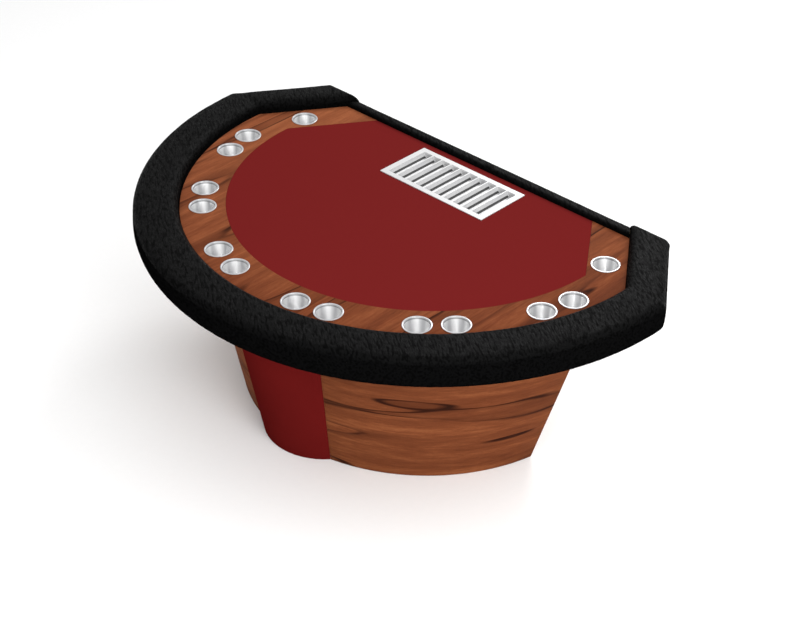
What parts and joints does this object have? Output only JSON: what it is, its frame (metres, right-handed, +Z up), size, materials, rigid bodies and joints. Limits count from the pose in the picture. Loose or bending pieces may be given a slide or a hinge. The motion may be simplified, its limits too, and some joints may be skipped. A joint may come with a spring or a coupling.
{
  "type": "blackjack table",
  "caption": "Half-round card table with a padded arm rail, felt playing surface, wooden cup ring, chip tray and tapered pedestal.",
  "frame": {"origin": "on the floor under the centre of the table's bounding box", "axes": "+Z up, +Y towards the dealer's straight side, -Y towards the players' half-round side, +X across the table"},
  "size_m": [2.1516, 1.386, 0.7775],
  "materials": {
    "leather": "pebbled black upholstery leather, satin",
    "walnut": "red-brown walnut veneer with dark streaks, satin lacquer",
    "plywood": "bare birch plywood",
    "black_ply": "black stained plywood",
    "felt": "dark red speed cloth, matt",
    "foam": "closed-cell foam underlay",
    "red_laminate": "dark red covered panel, satin",
    "cup_steel": "drawn stainless steel, bright",
    "tray_metal": "bright satin aluminium",
    "zinc": "zinc plated",
    "glide": "black rubber"
  },
  "bodies": {
    "root": {"table_deck": "plywood", "racetrack": "walnut", "felt_underlay": "foam", "playing_felt": "felt", "arm_rail_core": "plywood", "arm_rail_apron": "plywood", "arm_rail_pad": "leather", "dealer_strip_pad": "leather", "dealer_strip_core": "plywood", "rear_apron": "black_ply", "pedestal_side_left": "walnut", "pedestal_side_right": "walnut", "pedestal_front": "red_laminate", "pedestal_back": "walnut", "seam_upright_left": "plywood", "seam_upright_right": "plywood", "back_post_left": "plywood", "back_post_right": "plywood", "base_plate": "plywood", "top_plate": "plywood", "bow_former_lower": "plywood", "bow_former_upper": "plywood", "long_bearer_left": "plywood", "long_bearer_right": "plywood", "side_bearer_left": "plywood", "side_bearer_right": "plywood", "cross_bearer_front": "plywood", "cross_bearer_back": "plywood", "rail_bolt_1": "zinc", "floor_glide_1": "glide", "rail_bolt_2": "zinc", "floor_glide_2": "glide", "rail_bolt_3": "zinc", "floor_glide_3": "glide", "rail_bolt_4": "zinc", "floor_glide_4": "glide", "rail_bolt_5": "zinc", "floor_glide_5": "glide", "rail_bolt_6": "zinc", "floor_glide_6": "glide", "pedestal_bolt_1": "zinc", "pedestal_bolt_2": "zinc", "pedestal_bolt_3": "zinc", "pedestal_bolt_4": "zinc"},
    "chip_tray": {"chip_tray": "tray_metal"},
    "cup_01": {"cup_01": "cup_steel"},
    "cup_02": {"cup_02": "cup_steel"},
    "cup_03": {"cup_03": "cup_steel"},
    "cup_04": {"cup_04": "cup_steel"},
    "cup_05": {"cup_05": "cup_steel"},
    "cup_06": {"cup_06": "cup_steel"},
    "cup_07": {"cup_07": "cup_steel"},
    "cup_08": {"cup_08": "cup_steel"},
    "cup_09": {"cup_09": "cup_steel"},
    "cup_10": {"cup_10": "cup_steel"},
    "cup_11": {"cup_11": "cup_steel"},
    "cup_12": {"cup_12": "cup_steel"},
    "cup_13": {"cup_13": "cup_steel"},
    "cup_14": {"cup_14": "cup_steel"}
  },
  "joints": [
    {"name": "chip_tray_lift", "type": "slide", "parent": "root", "child": "chip_tray", "axis": [0, 0, 1], "range_m": [0, 0.12]},
    {"name": "cup_01_lift", "type": "slide", "parent": "root", "child": "cup_01", "axis": [0, 0, 1], "range_m": [0, 0.12]},
    {"name": "cup_02_lift", "type": "slide", "parent": "root", "child": "cup_02", "axis": [0, 0, 1], "range_m": [0, 0.12]},
    {"name": "cup_03_lift", "type": "slide", "parent": "root", "child": "cup_03", "axis": [0, 0, 1], "range_m": [0, 0.12]},
    {"name": "cup_04_lift", "type": "slide", "parent": "root", "child": "cup_04", "axis": [0, 0, 1], "range_m": [0, 0.12]},
    {"name": "cup_05_lift", "type": "slide", "parent": "root", "child": "cup_05", "axis": [0, 0, 1], "range_m": [0, 0.12]},
    {"name": "cup_06_lift", "type": "slide", "parent": "root", "child": "cup_06", "axis": [0, 0, 1], "range_m": [0, 0.12]},
    {"name": "cup_07_lift", "type": "slide", "parent": "root", "child": "cup_07", "axis": [0, 0, 1], "range_m": [0, 0.12]},
    {"name": "cup_08_lift", "type": "slide", "parent": "root", "child": "cup_08", "axis": [0, 0, 1], "range_m": [0, 0.12]},
    {"name": "cup_09_lift", "type": "slide", "parent": "root", "child": "cup_09", "axis": [0, 0, 1], "range_m": [0, 0.12]},
    {"name": "cup_10_lift", "type": "slide", "parent": "root", "child": "cup_10", "axis": [0, 0, 1], "range_m": [0, 0.12]},
    {"name": "cup_11_lift", "type": "slide", "parent": "root", "child": "cup_11", "axis": [0, 0, 1], "range_m": [0, 0.12]},
    {"name": "cup_12_lift", "type": "slide", "parent": "root", "child": "cup_12", "axis": [0, 0, 1], "range_m": [0, 0.12]},
    {"name": "cup_13_lift", "type": "slide", "parent": "root", "child": "cup_13", "axis": [0, 0, 1], "range_m": [0, 0.12]},
    {"name": "cup_14_lift", "type": "slide", "parent": "root", "child": "cup_14", "axis": [0, 0, 1], "range_m": [0, 0.12]}
  ]
}
